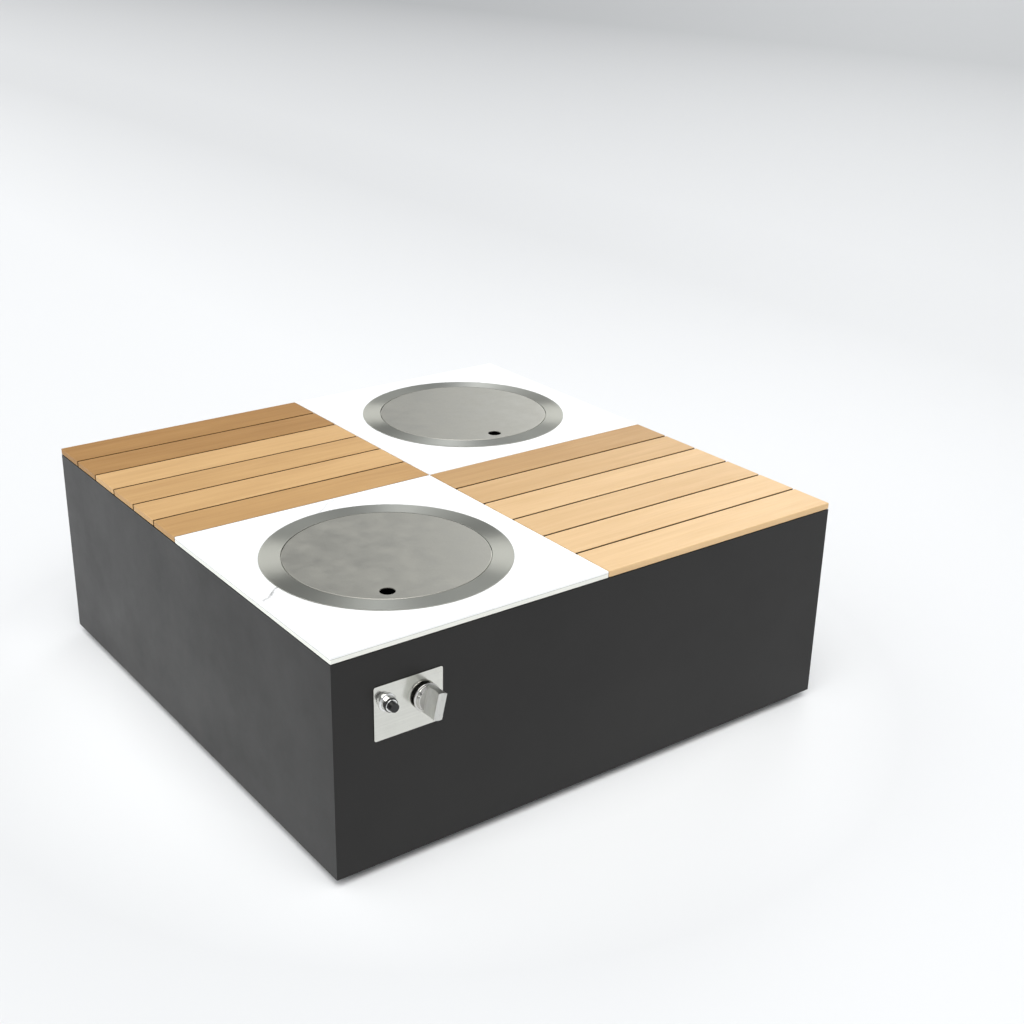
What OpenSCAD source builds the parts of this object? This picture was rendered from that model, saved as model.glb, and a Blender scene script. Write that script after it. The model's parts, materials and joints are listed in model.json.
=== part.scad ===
// Low square gas fire table with two lidded wells, two stone tops and two slatted wood tops.
// Origin at the bottom centre of the steel body, on the ground. +Z is up and the controls face -Y.

/* [Steel body] */
// Width of the body, left to right
body_w = 1000; // [860:10:1200]
// Depth of the body, front to back
body_d = 1000; // [860:10:1200]
// Height of the steel sides, without the feet
body_h = 358; // [300:2:440]
// Thickness of the steel sheet
sheet_t = 2; // [1.5:0.5:3]
// Width of the ledge folded inwards around the top
ledge_w = 30; // [30:1:40]
// Width of the ledge folded inwards around the bottom
foot_ledge_w = 24; // [15:1:30]
// Width of the rails under the joints between the tops
rail_w = 60; // [56:2:70]
// Height of those rails
rail_h = 30; // [20:2:40]

/* [Feet] */
// Height of a foot
foot_h = 15; // [12:1:25]
// Diameter of a foot
foot_d = 40; // [30:1:48]
// Distance from each side of the body to the middle of a foot
foot_in = 38; // [34:1:50]
// Width of the square plate that a foot is bolted to
corner_plate_w = 60; // [50:2:80]

/* [Tops] */
// Thickness of the stone and of the slats
top_t = 11; // [10:0.5:14]
// Gap between the four tops
top_gap = 1.5; // [1:0.5:3]
// Thickness of the rubber between the steel and the tops
seal_t = 1; // [1:0.5:3]
// Number of slats in a wood top
slat_count = 6; // [3:1:6]
// Gap between two slats
slat_gap = 4; // [2:0.5:6]
// Width of a batten under the slats
batten_w = 30; // [20:2:40]
// Thickness of a batten
batten_t = 14; // [10:1:18]
// Diameter of the wood screws
wood_screw_d = 4; // [3:0.5:5]

/* [Wells and lids] */
// Diameter of a lid
lid_d = 334; // [270:2:360]
// Width of the flange that lies on the stone, outside the seam around the lid
flange_w = 34.8; // [26:0.2:46]
// Thickness of a lid at its rim
lid_t = 3; // [2.5:0.5:5]
// Gap around a lid
lid_seam = 1.2; // [0.8:0.1:2]
// Diameter of the finger hole in a lid
finger_hole_d = 25; // [20:1:32]
// Distance from the middle of a lid to its finger hole
finger_hole_out = 140; // [100:1:145]
// Width of the seat that a lid rests on
seat_w = 14; // [10:1:20]
// Thickness of the bowls' sheet
bowl_t = 1.5; // [1:0.25:2]
// Depth of the fire bowl, from its flange
fire_depth = 110; // [100:2:140]
// Depth of the cooler bowl, from its flange
cooler_depth = 190; // [120:5:230]

/* [Grate and burner] */
// Height of the grate's legs
grate_leg_h = 48; // [44:1:56]
// Thickness of the grate
grate_t = 8; // [6:1:10]
// Width of a bar of the grate
bar_w = 8; // [6:1:10]
// Distance from bar to bar
bar_pitch = 22; // [18:1:30]
// Diameter of the ring burner, at the middle of its tube
burner_ring_d = 170; // [140:2:190]
// Diameter of the burner's tube
burner_tube_d = 18; // [16:1:22]
// Number of flame ports
port_count = 24; // [12:1:36]
// Outer diameter of the mixing tube
mixing_tube_d = 20; // [18:1:24]
// Height of the gap between the fire bowl and its heat shield
shield_gap = 27; // [20:1:34]

/* [Controls] */
// Width of the control plate
plate_w = 118.5; // [110:0.5:140]
// Height of the control plate
plate_h = 89; // [80:0.5:110]
// Thickness of the control plate
plate_t = 2; // [1:0.5:3]
// Distance from the body's left side to the control plate
plate_side = 67.5; // [60:0.5:90]
// Distance from the top of the steel to the control plate
plate_down = 56; // [45:1:80]
// Diameter of the knob's skirt
knob_d = 45; // [38:1:50]
// How far the knob stands out of the body
knob_out = 42; // [38:1:44]
// Width of the knob's grip
grip_w = 15; // [12:0.5:18]
// Lean of the grip to the right, in degrees
grip_lean = 12.8; // [0:0.1:20]
// Travel of the knob and of the igniter when pushed
push_travel = 4; // [2:0.5:4]
// Diameter of the igniter's collar
collar_d = 29; // [26:1:32]
// Diameter of the igniter's push button
button_d = 14.4; // [12:0.2:15]

/* [Gas line] */
// Outer diameter of the gas pipes
pipe_d = 8; // [6:1:10]
// Diameter of the gas inlet's outer thread
inlet_d = 16.66; // [13.1:0.01:20.95]
// Height of the gas inlet above the ground
inlet_up = 90; // [60:5:140]
// How far the gas inlet stands out behind the body
inlet_out = 34; // [30:1:40]

/* [Hidden] */
// Clearances
slide_play = 0.05;
hole_play = 0.2;
screw_play = 0.1;
stone_play = 1.5;
batten_play = 2;

// Levels above the ground
steel_top = foot_h + body_h;
rail_top = steel_top - sheet_t;
tops_z = steel_top + seal_t;
top_z = tops_z + top_t;
flange_z = top_z + bowl_t;
seat_z = flange_z - lid_t;
fire_base = flange_z - fire_depth;
fire_floor = fire_base + bowl_t;
cooler_base = flange_z - cooler_depth;
cooler_floor = cooler_base + bowl_t;

// Feet
foot_screw_r = 4;
foot_head_z = 2;
foot_head_t = 4;
foot_head_r = 7;
foot_nut_t = 6;
corner_plate_t = 3;

// Tops
quad_w = (body_w - top_gap) / 2;
quad_d = (body_d - top_gap) / 2;
slat_w = (quad_d - (slat_count - 1) * slat_gap) / slat_count;
seal_in = 4;
seal_w = 12;
screw_in = 23;
screw_bite = top_t - 4;
pilot_end = tops_z + screw_bite + 0.5;
screw_head_d = 7.2;
screw_head_t = 2.4;
batten_in = rail_w / 2 - top_gap / 2 + batten_play;
batten_out = ledge_w + batten_play;

// Wells
fire_x = -body_w / 4;
fire_y = -body_d / 4;
lid_r = lid_d / 2;
seat_r = lid_r + lid_seam;
flange_r = seat_r + flange_w;
bowl_r = seat_r - seat_w;
bowl_bend = 18;
floor_r = bowl_r + bowl_t - bowl_bend;
stone_hole_r = seat_r + bowl_t + stone_play;
front_hole_turn = -121.9;
rear_hole_turn = -99.1;
lid_sheet = 1.5;
lid_rim = 7;
clip_turns = [90, 210, 330];
clip_w = 16;
clip_t = 2;
clip_h = 24;
clip_reach = stone_hole_r + 18;
clip_screw_d = 4;
drain_d = 24;
spout_t = 2.8;
spout_l = 30;

// Grate and burner
grate_r = bowl_r - 6;
grate_z = fire_floor + grate_leg_h;
leg_w = 10;
leg_out = floor_r - leg_w;
burner_ring_r = burner_ring_d / 2;
burner_tube_r = burner_tube_d / 2;
burner_wall = 1.5;
burner_z = fire_floor + 17 + burner_tube_r;
hub_r = mixing_tube_d / 2 + 5;
hub_low = fire_floor + 12;
hub_high = burner_z + burner_tube_r + 3;
spoke_r = burner_tube_r - 2;
port_d = 2;
tube_r = mixing_tube_d / 2;
tube_wall = 2;
tube_low = fire_base - shield_gap - 28;
tube_high = hub_low + 10;
collar_r = tube_r + 6;
collar_t = 3;
burner_nut_t = 6;
air_hole_d = 8;
shield_t = 1;
shield_z = fire_base - shield_gap - shield_t;
shield_r = bowl_r - 4;
shield_rim = 8;
standoff_out = (burner_ring_r + burner_tube_r + floor_r) / 2;
standoff_d = 10;
rivet_d = 4;
rivet_head_d = 8;
rivet_head_t = 1.5;
floor_hole_out = 60;
floor_hole_d = 8;
probe_gap = 12;
probe_out = burner_ring_r + burner_tube_r + probe_gap;
electrode_turn = 190;
couple_turn = 250;
ceramic_d = 7;
couple_d = 5;
electrode_low = fire_base - 12;
couple_low = fire_base - 15;
lead_hole_d = 8;
lead_gap = 0.2;
injector_grip = 10;
injector_low = tube_low - 10;
injector_seat = 8;
jet_d = 1.5;

// Controls
front_y = -body_d / 2;
skin_y = front_y + sheet_t;
plate_x = -body_w / 2 + plate_side + plate_w / 2;
plate_z = steel_top - plate_down - plate_h / 2;
plate_corner = 3.5;
plate_y = front_y - plate_t;
knob_x = plate_x + 27.5;
knob_z = plate_z + 5;
igniter_x = plate_x - 37.5;
igniter_z = plate_z + 15.5;
stud_in = 9;
stud_d = 4;
stud_l = 12;
stud_nut_t = 3.2;
neck_d = 16;
neck_nut_t = 4;
neck_nut_r = 11;
knob_gap = 0.8;
knob_back_y = front_y - plate_t - push_travel - knob_gap;
knob_front_y = front_y - knob_out;
skirt_t = 9;
knob_recess_r = neck_nut_r + 2;
knob_recess_t = 7;
stem_d = 8;
stem_flat = 2.8;
stem_collar_r = 6.5;
stem_front_y = knob_front_y + 10;
valve_w = 38;
valve_l = 40;
valve_front_y = skin_y + 10;
valve_back_y = valve_front_y + valve_l;
valve_port_y = valve_front_y + valve_l / 2;
valve_room_r = 7;
valve_room_y = valve_front_y + 12;
stem_end_y = valve_room_y + 4;
plunger_t = 5;
magnet_d = 18;
magnet_l = 16;
port_boss_r = pipe_d / 2 + 3;
port_boss_l = 8;
pipe_seat = 6;
barrel_r = 11;
barrel_bore_r = 8.5;
barrel_lip_y = plate_y - 12;
lip_t = 1.5;
button_skirt_r = barrel_bore_r - 0.1;
button_front_y = front_y - 24;
button_back_y = barrel_lip_y + 10;
spark_unit_l = 48;
spring_l = 10;
spring_wire = 0.5;
spring_turns = 5;
spring_end_y = button_back_y + spring_l;
barrel_back_y = spring_end_y + spark_unit_l;

// Gas line
inlet_x = knob_x;
inlet_r = inlet_d / 2;
rear_y = body_d / 2;
inlet_bore_r = 3;
inlet_neck_r = 8;
inlet_hex_t = 6;
inlet_in = 30;
inlet_nut_t = 5;
inlet_seat = 10;
pipe_bend = 16;
burner_pipe_x = knob_x + 56;
burner_pipe_z = injector_low - 40;

ink = [0.02, 0.02, 0.02];
steel_dark = [0.20, 0.19, 0.18];
stainless = [0.72, 0.73, 0.70];
wood_light = [0.82, 0.66, 0.46];
wood_dark = [0.72, 0.55, 0.36];
marble = [0.96, 0.96, 0.95];
brass = [0.78, 0.62, 0.32];
iron = [0.12, 0.12, 0.12];

sides = [-1, 1];
slat_numbers = [for (i = [1 : slat_count]) i];

$fn = 96;

// Small helpers

// A rod along Y from y1 to y2, of radius r, centred on x and z
module rod_y(x, z, y1, y2, r) {
    translate([x, y1, z])
        rotate([-90, 0, 0])
            cylinder(h = y2 - y1, r = r);
}

// The same with six flats
module hex_y(x, z, y1, y2, r) {
    translate([x, y1, z])
        rotate([-90, 0, 0])
            cylinder(h = y2 - y1, r = r, $fn = 6);
}

// A rod along Z from z1 to z2
module rod_z(x, y, z1, z2, r) {
    translate([x, y, z1])
        cylinder(h = z2 - z1, r = r);
}

module hex_z(x, y, z1, z2, r) {
    translate([x, y, z1])
        cylinder(h = z2 - z1, r = r, $fn = 6);
}

// A box from its low corner to its high corner
module box(low, high) {
    translate(low)
        cube(high - low);
}

// A flat frame with square corners, centred on the axis
module square_ring(w, d, rim, z, h) {
    difference() {
        translate([-w / 2, -d / 2, z])
            cube([w, d, h]);
        translate([-w / 2 + rim, -d / 2 + rim, z - 1])
            cube([w - 2 * rim, d - 2 * rim, h + 2]);
    }
}

// Pipes that run along the axes, with a quarter bend at each corner

function unit(v) = v / norm(v);
function turned(v) = [v.y, v.z, v.x];

// Moves its children so that their X, Y and Z lie along x, y and z, at place
module set_along(x, y, z, place) {
    multmatrix([
        [x.x, y.x, z.x, place.x],
        [x.y, y.y, z.y, place.y],
        [x.z, y.z, z.z, place.z],
        [0, 0, 0, 1]
    ])
        children();
}

module straight_pipe(a, b, r) {
    along = unit(b - a);
    across = turned(along);
    set_along(across, cross(along, across), along, a)
        cylinder(h = norm(b - a), r = r);
}

module pipe_corner(corner, before, after, r, bend) {
    set_along(-after, before, cross(-after, before), corner + (after - before) * bend)
        rotate_extrude(angle = 90)
            translate([bend, 0])
                circle(r = r);
}

module pipe_run(points, r, bend) {
    last = len(points) - 1;
    for (i = [0 : last - 1]) {
        along = unit(points[i + 1] - points[i]);
        start = points[i] + (i > 0 ? along * bend : [0, 0, 0]);
        end = points[i + 1] - (i < last - 1 ? along * bend : [0, 0, 0]);
        straight_pipe(start, end, r);
        if (i > 0)
            pipe_corner(points[i], unit(points[i] - points[i - 1]), along, r, bend);
    }
}

// Soft leads and the spring: one tube swept along a smooth line

// A point of the smooth curve through p1 and p2, at t from 0 to 1
function curve_at(p0, p1, p2, p3, t) =
    0.5 * (2 * p1 + (p2 - p0) * t + (2 * p0 - 5 * p1 + 4 * p2 - p3) * t * t
        + (3 * p1 - p0 - 3 * p2 + p3) * t * t * t);
function smooth(p, steps) = [
    for (i = [0 : len(p) - 2])
        for (s = [0 : steps - 1])
            curve_at(p[max(i - 1, 0)], p[i], p[i + 1], p[min(i + 2, len(p) - 1)], s / steps),
    p[len(p) - 1]
];
function heading(p, i) = unit(p[min(i + 1, len(p) - 1)] - p[max(i - 1, 0)]);

module swept_tube(p, r, n, lean) {
    rings = [
        for (i = [0 : len(p) - 1])
            let (along = heading(p, i), side = unit(cross(along, lean)), up = cross(side, along))
                for (k = [0 : n - 1])
                    p[i] + r * (cos(360 * k / n) * side + sin(360 * k / n) * up)
    ];
    last = (len(p) - 1) * n;
    walls = [
        for (i = [0 : len(p) - 2])
            for (k = [0 : n - 1])
                [i * n + k, i * n + (k + 1) % n, (i + 1) * n + (k + 1) % n, (i + 1) * n + k]
    ];
    polyhedron(
        points = rings,
        faces = concat(
            [[for (k = [0 : n - 1]) n - 1 - k]],
            walls,
            [[for (k = [0 : n - 1]) last + k]]
        )
    );
}

// Where things go

// The middle of each foot
module at_feet() {
    for (sx = sides)
        for (sy = sides)
            translate([sx * (body_w / 2 - foot_in), sy * (body_d / 2 - foot_in), 0])
                children();
}

// The middle of a wood top: side -1 is rear left and side 1 is front right
module at_wood_top(side) {
    translate([side * (quad_w + top_gap) / 2, -side * (quad_d + top_gap) / 2, 0])
        children();
}

function slat_y(i) = -quad_d / 2 + slat_w / 2 + (i - 1) * (slat_w + slat_gap);

// Both ends of each slat
module at_slat_ends(side) {
    at_wood_top(side)
        for (i = slat_numbers)
            for (end = sides)
                translate([end * (quad_w / 2 - screw_in), slat_y(i), 0])
                    children();
}

// Where the slats cross the battens
module at_batten_screws(side) {
    at_wood_top(side)
        for (i = slat_numbers)
            for (end = sides)
                translate([end * quad_w / 6, slat_y(i), 0])
                    children();
}

module at_fire_well() {
    translate([fire_x, fire_y, 0])
        children();
}

module at_cooler_well() {
    translate([-fire_x, -fire_y, 0])
        children();
}

module at_clips() {
    for (turn = clip_turns)
        rotate([0, 0, turn])
            children();
}

module at_standoffs() {
    for (turn = clip_turns)
        rotate([0, 0, turn])
            translate([standoff_out, 0, 0])
                children();
}

module at_probe(turn) {
    rotate([0, 0, turn])
        translate([probe_out, 0, 0])
            children();
}

module at_studs() {
    for (sx = sides)
        for (sz = sides)
            translate([plate_x + sx * (plate_w / 2 - stud_in), 0, plate_z + sz * (plate_h / 2 - stud_in)])
                children();
}

// Steel body

module outer_shell() {
    color(steel_dark)
        difference() {
            box([-body_w / 2, -body_d / 2, foot_h], [body_w / 2, body_d / 2, steel_top]);
            box(
                [-body_w / 2 + sheet_t, -body_d / 2 + sheet_t, foot_h + sheet_t],
                [body_w / 2 - sheet_t, body_d / 2 - sheet_t, rail_top]
            );
            box(
                [-body_w / 2 + ledge_w, -body_d / 2 + ledge_w, rail_top - 1],
                [body_w / 2 - ledge_w, body_d / 2 - ledge_w, steel_top + 1]
            );
            box(
                [-body_w / 2 + foot_ledge_w, -body_d / 2 + foot_ledge_w, foot_h - 1],
                [body_w / 2 - foot_ledge_w, body_d / 2 - foot_ledge_w, foot_h + sheet_t + 1]
            );
            for (side = sides)
                at_slat_ends(side)
                    rod_z(0, 0, rail_top - 1, steel_top + 1, wood_screw_d / 2 + screw_play);
            at_studs()
                rod_y(0, 0, front_y - 1, skin_y + 1, stud_d / 2 + hole_play);
            rod_y(knob_x, knob_z, front_y - 1, skin_y + 1, neck_d / 2 + hole_play);
            rod_y(igniter_x, igniter_z, front_y - 1, skin_y + 1, barrel_r + hole_play);
            rod_y(inlet_x, inlet_up, rear_y - sheet_t - 1, rear_y + 1, inlet_neck_r + hole_play);
        }
}

// An upturned channel from x1 to x2, under the joint between two tops
module rail(x1, x2) {
    difference() {
        box([x1, -rail_w / 2, rail_top - rail_h], [x2, rail_w / 2, rail_top]);
        box(
            [x1 - 1, -rail_w / 2 + sheet_t, rail_top - rail_h - 1],
            [x2 + 1, rail_w / 2 - sheet_t, rail_top - sheet_t]
        );
    }
}

module centre_rail() {
    color(steel_dark)
        difference() {
            rotate([0, 0, 90])
                rail(-body_d / 2 + sheet_t, body_d / 2 - sheet_t);
            for (side = sides)
                at_slat_ends(side)
                    rod_z(0, 0, rail_top - sheet_t - 1, rail_top + 1, wood_screw_d / 2 + screw_play);
        }
}

module side_rails() {
    color(steel_dark) {
        rail(-body_w / 2 + sheet_t, -rail_w / 2);
        rail(rail_w / 2, body_w / 2 - sheet_t);
    }
}

module corner_plates() {
    color(steel_dark)
        difference() {
            for (sx = sides)
                for (sy = sides)
                    translate([
                        sx * (body_w / 2 - foot_ledge_w - corner_plate_w / 2),
                        sy * (body_d / 2 - foot_ledge_w - corner_plate_w / 2),
                        foot_h + corner_plate_t / 2
                    ])
                        cube([corner_plate_w, corner_plate_w, corner_plate_t], center = true);
            at_feet()
                rod_z(0, 0, foot_h - 1, foot_h + corner_plate_t + 1, foot_screw_r + hole_play);
        }
}

// Feet

module foot(sx, sy) {
    color(ink)
        translate([sx * (body_w / 2 - foot_in), sy * (body_d / 2 - foot_in), 0])
            difference() {
                rod_z(0, 0, 0, foot_h, foot_d / 2);
                rod_z(0, 0, -1, foot_head_z + foot_head_t, foot_head_r + 1);
                rod_z(0, 0, 0, foot_h + 1, foot_screw_r + hole_play);
            }
}

module front_left_foot() {
    foot(-1, -1);
}

module front_right_foot() {
    foot(1, -1);
}

module rear_left_foot() {
    foot(-1, 1);
}

module rear_right_foot() {
    foot(1, 1);
}

module foot_screws() {
    color(stainless)
        at_feet() {
            rod_z(0, 0, foot_head_z, foot_head_z + foot_head_t, foot_head_r);
            rod_z(0, 0, foot_head_z, foot_h + 10, foot_screw_r);
            hex_z(0, 0, foot_h + corner_plate_t, foot_h + corner_plate_t + foot_nut_t, foot_head_r);
        }
}

// Rubber under the tops

module top_seals() {
    half = top_gap / 2 + seal_in + seal_w;
    color(ink) {
        square_ring(body_w - 2 * seal_in, body_d - 2 * seal_in, seal_w, steel_top, seal_t);
        union() {
            box([-half, -body_d / 2 + ledge_w, rail_top], [half, body_d / 2 - ledge_w, tops_z]);
            box([-body_w / 2 + ledge_w, -half, rail_top], [body_w / 2 - ledge_w, half, tops_z]);
        }
    }
}

// Stone tops: side -1 is front left and side 1 is rear right

module stone_top(side) {
    color(marble)
        difference() {
            translate([side * (quad_w + top_gap) / 2, side * (quad_d + top_gap) / 2, tops_z + top_t / 2])
                cube([quad_w, quad_d, top_t], center = true);
            rod_z(side * body_w / 4, side * body_d / 4, tops_z - 1, top_z + 1, stone_hole_r);
        }
}

module front_stone_top() {
    stone_top(-1);
}

module rear_stone_top() {
    stone_top(1);
}

// Wood tops

module slat(side, i) {
    color(side < 0 ? wood_dark : wood_light)
        difference() {
            at_wood_top(side)
                translate([-quad_w / 2, slat_y(i) - slat_w / 2, tops_z])
                    cube([quad_w, slat_w, top_t]);
            at_wood_top(side)
                for (x = [quad_w / 2 - screw_in, quad_w / 6])
                    for (end = sides)
                        rod_z(end * x, slat_y(i), tops_z - 1, pilot_end, wood_screw_d / 2 + screw_play);
        }
}

// The two battens under one wood top
module batten_pair(side) {
    inner = side * (quad_d / 2 - batten_in);
    outer = -side * (quad_d / 2 - batten_out);
    difference() {
        at_wood_top(side)
            for (end = sides)
                box(
                    [end * quad_w / 6 - batten_w / 2, min(inner, outer), tops_z - batten_t],
                    [end * quad_w / 6 + batten_w / 2, max(inner, outer), tops_z]
                );
        at_batten_screws(side)
            rod_z(0, 0, tops_z - batten_t - 1, tops_z + 1, wood_screw_d / 2 + screw_play);
    }
}

module battens() {
    color(wood_dark)
        for (side = sides)
            batten_pair(side);
}

// A wood screw that goes up from a head under z
module wood_screw(z) {
    rod_z(0, 0, z - screw_head_t, z, screw_head_d / 2);
    rod_z(0, 0, z - screw_head_t, tops_z + screw_bite, wood_screw_d / 2);
}

module wood_screws() {
    color(stainless)
        for (side = sides) {
            at_batten_screws(side)
                wood_screw(tops_z - batten_t);
            at_wood_top(side)
                for (i = slat_numbers) {
                    translate([side * (quad_w / 2 - screw_in), slat_y(i), 0])
                        wood_screw(steel_top - sheet_t);
                    translate([-side * (quad_w / 2 - screw_in), slat_y(i), 0])
                        wood_screw(rail_top - sheet_t);
                }
        }
}

// Bowls and lids

// A pressed rim that hangs in the stone and is welded on its bowl: flange, step and lid seat
module rim() {
    rotate_extrude()
        union() {
            translate([seat_r, flange_z - bowl_t])
                square([flange_r - seat_r, bowl_t]);
            translate([seat_r, seat_z - bowl_t])
                square([bowl_t, lid_t + bowl_t]);
            translate([bowl_r, seat_z - bowl_t])
                square([seat_w + bowl_t, bowl_t]);
        }
}

module fire_rim() {
    color(stainless)
        at_fire_well()
            rim();
}

module cooler_rim() {
    color(stainless)
        at_cooler_well()
            rim();
}

// Half of a bowl's section: wall, bent corner and floor
module bowl_section(base) {
    union() {
        translate([bowl_r, base + bowl_bend])
            square([bowl_t, seat_z - bowl_t - base - bowl_bend]);
        translate([0, base])
            square([floor_r, bowl_t]);
        intersection() {
            translate([floor_r, base])
                square([bowl_bend, bowl_bend]);
            translate([floor_r, base + bowl_bend])
                difference() {
                    circle(r = bowl_bend);
                    circle(r = bowl_bend - bowl_t);
                }
        }
    }
}

module clip_holes() {
    at_clips()
        translate([bowl_r - 1, 0, tops_z - clip_t - clip_h / 2])
            rotate([0, 90, 0])
                cylinder(h = 10, r = clip_screw_d / 2 + screw_play);
}

module fire_bowl() {
    color(stainless)
        at_fire_well()
            difference() {
                rotate_extrude()
                    bowl_section(fire_base);
                clip_holes();
                rod_z(0, 0, fire_base - 1, fire_floor + 1, tube_r + hole_play);
                at_standoffs()
                    rod_z(0, 0, fire_base - 1, fire_floor + 1, rivet_d / 2 + screw_play);
                at_probe(electrode_turn)
                    rod_z(0, 0, fire_base - 1, fire_floor + 1, ceramic_d / 2 + hole_play);
                at_probe(couple_turn)
                    rod_z(0, 0, fire_base - 1, fire_floor + 1, couple_d / 2 + hole_play);
                for (turn = [30 : 60 : 330])
                    rotate([0, 0, turn])
                        rod_z(floor_hole_out, 0, fire_base - 1, fire_floor + 1, floor_hole_d / 2);
            }
}

module cooler_bowl() {
    color(stainless)
        at_cooler_well()
            difference() {
                union() {
                    rotate_extrude()
                        bowl_section(cooler_base);
                    rod_z(0, 0, cooler_base - spout_l, cooler_base + bowl_t / 2, drain_d / 2 + spout_t);
                }
                clip_holes();
                rod_z(0, 0, cooler_base - spout_l - 1, cooler_floor + 1, drain_d / 2 + hole_play);
            }
}

// A lid: thin sheet with a deeper rim and a finger hole towards turn
module lid(turn) {
    difference() {
        rod_z(0, 0, seat_z, flange_z, lid_r);
        rod_z(0, 0, seat_z - 1, flange_z - lid_sheet, lid_r - lid_rim);
        rotate([0, 0, turn])
            rod_z(finger_hole_out, 0, seat_z - 1, flange_z + 1, finger_hole_d / 2);
    }
}

module front_lid() {
    color(stainless)
        at_fire_well()
            lid(front_hole_turn);
}

module rear_lid() {
    color(stainless)
        at_cooler_well()
            lid(rear_hole_turn);
}

// A bracket that hooks a bowl's wall under the stone
module bowl_clip() {
    wall_r = bowl_r + bowl_t;
    difference() {
        union() {
            box([wall_r, -clip_w / 2, tops_z - clip_t - clip_h], [wall_r + clip_t, clip_w / 2, tops_z]);
            box([wall_r, -clip_w / 2, tops_z - clip_t], [clip_reach, clip_w / 2, tops_z]);
        }
        translate([wall_r - 1, 0, tops_z - clip_t - clip_h / 2])
            rotate([0, 90, 0])
                cylinder(h = clip_t + 2, r = clip_screw_d / 2 + slide_play);
    }
}

module bowl_clips() {
    color(steel_dark) {
        at_fire_well()
            at_clips()
                bowl_clip();
        at_cooler_well()
            at_clips()
                bowl_clip();
    }
}

module clip_screw() {
    translate([bowl_r - 2.6, 0, tops_z - clip_t - clip_h / 2])
        rotate([0, 90, 0]) {
            cylinder(h = 2.5, r = 4);
            cylinder(h = bowl_t + clip_t + 6, r = clip_screw_d / 2);
        }
}

module clip_screws() {
    color(stainless) {
        at_fire_well()
            at_clips()
                clip_screw();
        at_cooler_well()
            at_clips()
                clip_screw();
    }
}

module drain_plug() {
    color(ink)
        at_cooler_well() {
            rod_z(0, 0, cooler_base - 8, cooler_floor, drain_d / 2);
            rod_z(0, 0, cooler_floor, cooler_floor + 3, drain_d / 2 + 5);
            rod_z(0, 0, cooler_floor, cooler_floor + 12, 4);
            rod_z(0, 0, cooler_floor + 12, cooler_floor + 16, 8);
        }
}

// Grate and burner

module fire_grate() {
    bars = floor((grate_r - bar_w) / bar_pitch);
    color(iron)
        at_fire_well() {
            translate([0, 0, grate_z])
                linear_extrude(grate_t)
                    union() {
                        difference() {
                            circle(r = grate_r);
                            circle(r = grate_r - bar_w);
                        }
                        intersection() {
                            circle(r = grate_r - bar_w / 2);
                            for (i = [-bars : bars])
                                translate([i * bar_pitch - bar_w / 2, -grate_r])
                                    square([bar_w, 2 * grate_r]);
                        }
                        for (turn = [45 : 90 : 315])
                            rotate(turn)
                                translate([leg_out - leg_w / 2, -leg_w / 2])
                                    square([grate_r - leg_out, leg_w]);
                    }
            for (turn = [45 : 90 : 315])
                rotate([0, 0, turn])
                    translate([leg_out, 0, fire_floor + (grate_leg_h + 1) / 2])
                        cube([leg_w, leg_w, grate_leg_h + 1], center = true);
        }
}

// The burner's outside, or its hollow when shrunk by wall
module burner_form(wall) {
    translate([0, 0, burner_z])
        rotate_extrude()
            translate([burner_ring_r, 0])
                circle(r = burner_tube_r - wall);
    for (turn = [0, 90])
        rotate([0, 0, turn])
            translate([-burner_ring_r, 0, burner_z])
                rotate([0, 90, 0])
                    cylinder(h = 2 * burner_ring_r, r = spoke_r - wall);
}

module ring_burner() {
    color(stainless)
        at_fire_well()
            difference() {
                union() {
                    burner_form(0);
                    rod_z(0, 0, hub_low, hub_high, hub_r);
                }
                burner_form(burner_wall);
                rod_z(0, 0, hub_low - 1, tube_high, tube_r + slide_play);
                rod_z(0, 0, hub_low, hub_high - 2, tube_r - tube_wall);
                for (i = [0 : port_count - 1])
                    rotate([0, 0, (i + 0.5) * 360 / port_count])
                        rod_z(burner_ring_r, 0, burner_z, burner_z + burner_tube_r + 1, port_d / 2);
            }
}

module mixing_tube() {
    color(stainless)
        at_fire_well()
            difference() {
                union() {
                    rod_z(0, 0, tube_low, tube_high, tube_r);
                    rod_z(0, 0, fire_base - collar_t, fire_base, collar_r);
                }
                rod_z(0, 0, tube_low - 1, tube_high + 1, tube_r - tube_wall);
                for (turn = [0, 90])
                    rotate([90, 0, turn])
                        translate([0, (tube_low + injector_grip + shield_z) / 2, -tube_r - 1])
                            cylinder(h = 2 * tube_r + 2, r = air_hole_d / 2);
            }
}

module burner_nut() {
    color(brass)
        at_fire_well()
            difference() {
                hex_z(0, 0, fire_floor, fire_floor + burner_nut_t, tube_r + 7);
                rod_z(0, 0, fire_floor - 1, fire_floor + burner_nut_t + 1, tube_r + slide_play);
            }
}

module injector() {
    color(brass)
        at_fire_well()
            difference() {
                union() {
                    rod_z(0, 0, tube_low, tube_low + injector_grip, tube_r - tube_wall - slide_play);
                    hex_z(0, 0, injector_low, tube_low, tube_r + 1);
                }
                rod_z(0, 0, injector_low - 1, tube_low + injector_grip + 1, jet_d / 2);
                rod_z(0, 0, injector_low - 1, injector_low + injector_seat, pipe_d / 2 + slide_play);
            }
}

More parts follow.
